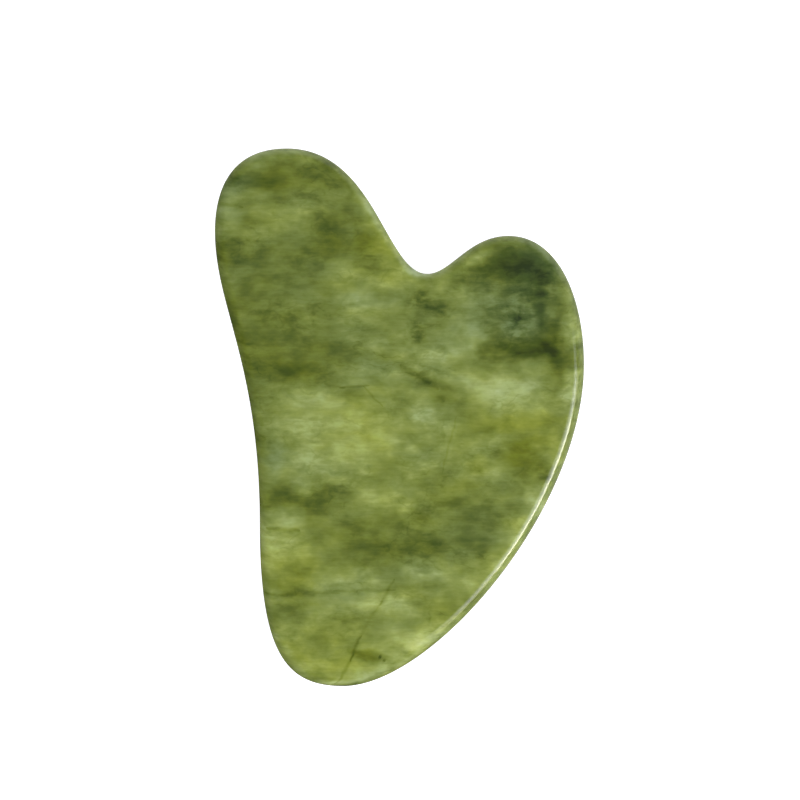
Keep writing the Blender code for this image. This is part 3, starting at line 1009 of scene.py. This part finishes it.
class Softbox(NamedTuple):
    """An evenly lit panel that faces the board.

    Azimuth turns from +X towards +Y, and the polar angle is measured from straight up, both in degrees.
    Width and height are the degrees that it fills as the board sees it. Brightness is relative to a
    white floor in full light. A mirrored softbox shows in the polish, and any other only lights it.
    """

    name: str
    azimuth: float
    polar: float
    width: float
    height: float
    brightness: float
    colour: tuple
    mirrored: bool


SOFTBOX_DISTANCE = 0.7
FLOOR_GAP = 0.02 * MM  # between the floor and the board's back face
LIT_SIDE = (math.cos(math.radians(30)), math.sin(math.radians(30)), 0)  # towards the bright side
SOFTBOXES = [
    Softbox("key", -26, 57, 24, 13, 11, (1.0, 0.98, 0.85), True),
    Softbox("key_wide", -28, 57, 46, 13, 3.5, (1.0, 0.98, 0.82), True),
    Softbox("key_glow", -26, 43, 36, 14, 5, (0.87, 0.87, 1.0), True),
    Softbox("key_veil", -26, 29, 36, 14, 2, (0.87, 0.87, 1.0), True),
    Softbox("side_strip", 5, 43, 30, 5, 1.4, (0.95, 0.97, 1.0), True),
    Softbox("back_fill", 80, 55, 50, 40, 1.7, (1.0, 1.0, 1.0), False),
    Softbox("left_fill", 165, 55, 50, 40, 2.3, (1.0, 1.0, 1.0), False),
    Softbox("front_fill", 250, 55, 50, 40, 1.9, (1.0, 1.0, 1.0), False),
]


def make_floor(studio):
    """A round floor of rings of four-sided faces; each ring is half as wide again as the last."""
    around = 96
    radii = studio.floor_radius * 1.5 ** -np.arange(12, -1, -1.0)
    angle = np.linspace(0, 2 * np.pi, around, endpoint=False)
    x = radii[:, None] * np.cos(angle)
    y = radii[:, None] * np.sin(angle)
    z = np.full_like(x, -FLOOR_GAP)
    here = np.arange(around)
    after = np.roll(here, -1)
    first = np.arange(len(radii) - 1)[:, None] * around
    quads = np.stack([first + here, first + around + here, first + around + after, first + after], axis=-1)
    faces = [here.tolist()] + quads.reshape(-1, 4).tolist()
    mesh = bpy.data.meshes.new("studio_floor")
    mesh.from_pydata(np.stack([x, y, z], axis=-1).reshape(-1, 3), [], faces)
    mesh.materials.append(pale_floor(studio))
    floor = bpy.data.objects.new("studio_floor", mesh)
    bpy.context.scene.collection.objects.link(floor)


def pale_floor(studio):
    """A pale floor, lit a little from below. The polish mirrors it as dark on the unlit side."""
    material = bpy.data.materials.new("pale floor")
    material.use_nodes = True
    tree = material.node_tree
    wires = Wiring(tree)
    shader = tree.nodes["Principled BSDF"]
    shader.inputs["Base Color"].default_value = (*studio.floor_colour, 1)
    shader.inputs["Roughness"].default_value = 0.9
    shader.inputs["Specular IOR Level"].default_value = 0
    shader.inputs["Emission Color"].default_value = (1, 1, 1, 1)
    shader.inputs["Emission Strength"].default_value = studio.floor_glow
    place = wires.add("ShaderNodeTexCoord").outputs["Object"]
    facing = wires.vector("DOT_PRODUCT", place, LIT_SIDE)
    brightness = wires.ranged(facing, -25 * MM, 15 * MM, 0.05, 0.6)
    mirrored = wires.add("ShaderNodeEmission", {"Color": (0.97, 0.99, 1.0, 1), "Strength": brightness})
    camera_ray = wires.add("ShaderNodeLightPath").outputs["Is Camera Ray"]
    seen = wires.add("ShaderNodeMixShader", {0: camera_ray, 1: mirrored.outputs[0], 2: shader.outputs[0]})
    wires.feed(tree.nodes["Material Output"].inputs["Surface"], seen.outputs[0])
    return material


def make_softbox(box):
    azimuth, polar = math.radians(box.azimuth), math.radians(box.polar)
    towards = Vector((
        math.sin(polar) * math.cos(azimuth), math.sin(polar) * math.sin(azimuth), math.cos(polar)
    ))
    lamp = bpy.data.lights.new(box.name, "AREA")
    lamp.shape = "RECTANGLE"
    lamp.size = 2 * SOFTBOX_DISTANCE * math.tan(math.radians(box.width / 2))
    lamp.size_y = 2 * SOFTBOX_DISTANCE * math.tan(math.radians(box.height / 2))
    lamp.energy = box.brightness * math.pi * lamp.size * lamp.size_y
    lamp.color = box.colour
    panel = bpy.data.objects.new(box.name, lamp)
    panel.location = towards * SOFTBOX_DISTANCE
    panel.rotation_euler = (-towards).to_track_quat("-Z", "Y").to_euler()
    panel.visible_camera = False
    panel.visible_glossy = box.mirrored
    bpy.context.scene.collection.objects.link(panel)


def make_surroundings(studio):
    """A dim room, bright only low down on the lit side, that the camera sees as plain pale grey."""
    world = bpy.data.worlds.new("studio")
    world.use_nodes = True
    tree = world.node_tree
    tree.nodes.clear()
    wires = Wiring(tree)
    direction = wires.add("ShaderNodeTexCoord").outputs["Generated"]
    height = wires.add("ShaderNodeSeparateXYZ", {"Vector": direction}).outputs["Z"]
    facing = wires.vector("DOT_PRODUCT", direction, LIT_SIDE)
    side = wires.ranged(facing, -1, 1, 0.05, 1, smooth=False)
    low = wires.ranged(height, 0.7, 0.0, 0.12, 0.95)
    overhead = wires.ranged(height, 0.8, 1.0, 0.0, 0.12)
    strength = wires.math("ADD", wires.math("MULTIPLY", low, side), overhead)
    room = wires.add("ShaderNodeBackground", {"Color": (0.95, 0.98, 1.0, 1), "Strength": strength})
    seen = wires.add("ShaderNodeBackground", {"Color": (0.95, 0.95, 0.95, 1), "Strength": 1.0})
    camera_ray = wires.add("ShaderNodeLightPath").outputs["Is Camera Ray"]
    mixed = wires.add("ShaderNodeMixShader", {0: camera_ray, 1: room.outputs[0], 2: seen.outputs[0]})
    wires.add("ShaderNodeOutputWorld", {"Surface": mixed.outputs[0]})
    bpy.context.scene.world = world


def make_camera(studio, front_height):
    data = bpy.data.cameras.new("camera")
    data.lens = studio.lens
    data.sensor_width = 36
    data.clip_start, data.clip_end = 0.01, 20
    camera = bpy.data.objects.new("camera", data)
    camera.location = (studio.camera_across, studio.camera_along, front_height + studio.camera_height)
    bpy.context.scene.collection.objects.link(camera)
    bpy.context.scene.camera = camera


class SCRAPER_OT_make_studio(bpy.types.Operator):
    """Lay the floor, hang the lights and set up the camera over the board"""

    bl_idname = "scraper.make_studio"
    bl_label = "Studio"

    def execute(self, context):
        studio = context.scene.scraper_studio
        make_floor(studio)
        for box in SOFTBOXES:
            make_softbox(box)
        make_surroundings(studio)
        make_camera(studio, context.scene.scraper_shape.thickness)
        context.scene.view_settings.view_transform = "Standard"
        return {"FINISHED"}


# ---------------------------------------------------------------------------------------------------
# Panel and start
# ---------------------------------------------------------------------------------------------------

OPERATORS = (SCRAPER_OT_make_studio, SCRAPER_OT_make_board)


class SCRAPER_PT_panel(bpy.types.Panel):
    """The scraper's pieces and settings"""

    bl_label = "Gua sha scraper"
    bl_idname = "SCRAPER_PT_panel"
    bl_space_type = "VIEW_3D"
    bl_region_type = "UI"
    bl_category = "Scraper"

    def draw(self, context):
        for operator in OPERATORS:
            self.layout.operator(operator.bl_idname)
        scene = context.scene
        for group in (scene.scraper_shape, scene.scraper_stone, scene.scraper_studio):
            box = self.layout.box()
            for name in group.__annotations__:
                box.prop(group, name)


CLASSES = (ScraperShape, StoneFinish, StudioSettings, *OPERATORS, SCRAPER_PT_panel)


def register():
    for cls in CLASSES:
        bpy.utils.register_class(cls)
    bpy.types.Scene.scraper_shape = PointerProperty(type=ScraperShape)
    bpy.types.Scene.scraper_stone = PointerProperty(type=StoneFinish)
    bpy.types.Scene.scraper_studio = PointerProperty(type=StudioSettings)


def unregister():
    del bpy.types.Scene.scraper_studio
    del bpy.types.Scene.scraper_stone
    del bpy.types.Scene.scraper_shape
    for cls in reversed(CLASSES):
        bpy.utils.unregister_class(cls)


def main():
    register()
    bpy.ops.scraper.make_studio()
    bpy.ops.scraper.make_board()


if __name__ == "__main__":
    main()
